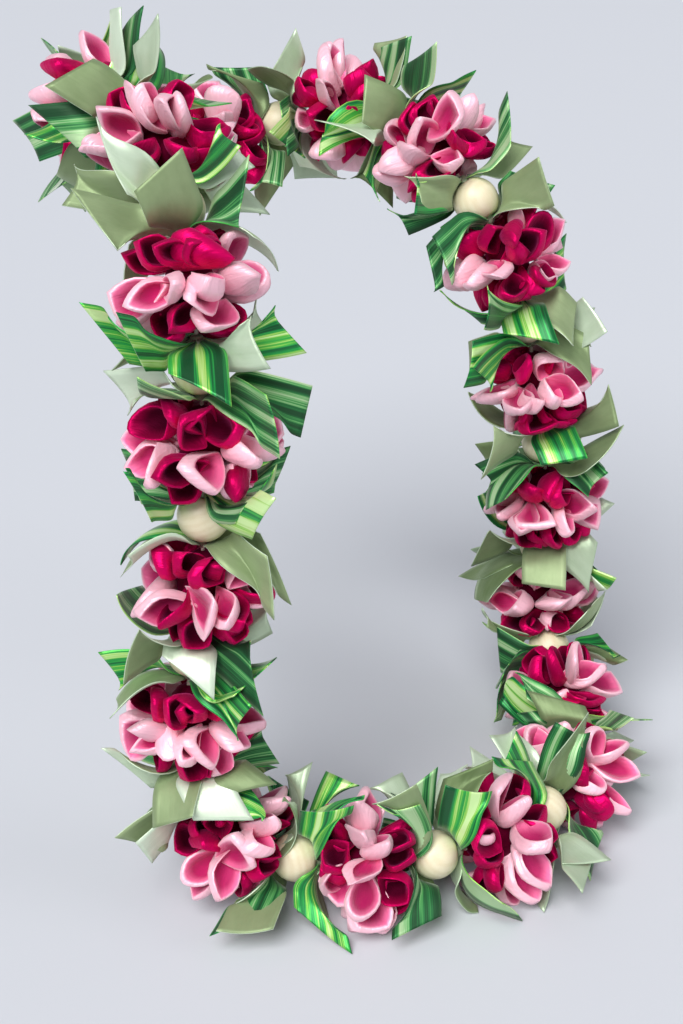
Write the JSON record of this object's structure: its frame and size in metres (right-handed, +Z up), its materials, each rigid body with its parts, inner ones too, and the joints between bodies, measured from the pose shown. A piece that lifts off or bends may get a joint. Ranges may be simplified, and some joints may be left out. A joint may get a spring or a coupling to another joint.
{
  "type": "ribbon flower lei",
  "caption": "Closed garland of folded satin ribbon blooms, wooden beads and ribbon leaves on a cord, worn round the neck.",
  "frame": {"origin": "middle of the neck that the lei hangs round, 330 mm above the surface under its lowest bend", "axes": "+Z up, -Y to the wearer's front, +X to the wearer's left"},
  "size_m": [0.3318, 0.3414, 0.3987],
  "materials": {
    "petal_ribbon": "folded satin ribbon, magenta and pale pink petals in one bloom",
    "leaf_ribbon": "satin ribbon, plain sage and green striped lengthwise",
    "bead_wood": "pale turned wood, lightly waxed",
    "cord_fibre": "thin twisted cord"
  },
  "bodies": {
    "root": {"cord": "cord_fibre", "bloom_01": "petal_ribbon", "bead_01": "bead_wood", "leaves_01": "leaf_ribbon", "bloom_02": "petal_ribbon", "bead_02": "bead_wood", "leaves_02": "leaf_ribbon", "bloom_03": "petal_ribbon", "bead_03": "bead_wood", "leaves_03": "leaf_ribbon", "bloom_04": "petal_ribbon", "bead_04": "bead_wood", "leaves_04": "leaf_ribbon", "bloom_05": "petal_ribbon", "bead_05": "bead_wood", "leaves_05": "leaf_ribbon", "bloom_06": "petal_ribbon", "bead_06": "bead_wood", "leaves_06": "leaf_ribbon", "bloom_07": "petal_ribbon", "bead_07": "bead_wood", "leaves_07": "leaf_ribbon", "bloom_08": "petal_ribbon", "bead_08": "bead_wood", "leaves_08": "leaf_ribbon", "bloom_09": "petal_ribbon", "bead_09": "bead_wood", "leaves_09": "leaf_ribbon", "bloom_10": "petal_ribbon", "bead_10": "bead_wood", "leaves_10": "leaf_ribbon", "bloom_11": "petal_ribbon", "bead_11": "bead_wood", "leaves_11": "leaf_ribbon", "bloom_12": "petal_ribbon", "bead_12": "bead_wood", "leaves_12": "leaf_ribbon", "bloom_13": "petal_ribbon", "bead_13": "bead_wood", "leaves_13": "leaf_ribbon", "bloom_14": "petal_ribbon", "bead_14": "bead_wood", "leaves_14": "leaf_ribbon", "bloom_15": "petal_ribbon", "bead_15": "bead_wood", "leaves_15": "leaf_ribbon", "bloom_16": "petal_ribbon", "bead_16": "bead_wood", "leaves_16": "leaf_ribbon", "bloom_17": "petal_ribbon", "bead_17": "bead_wood", "leaves_17": "leaf_ribbon", "bloom_18": "petal_ribbon", "bead_18": "bead_wood", "leaves_18": "leaf_ribbon", "bloom_19": "petal_ribbon", "bead_19": "bead_wood", "leaves_19": "leaf_ribbon"}
  },
  "joints": []
}
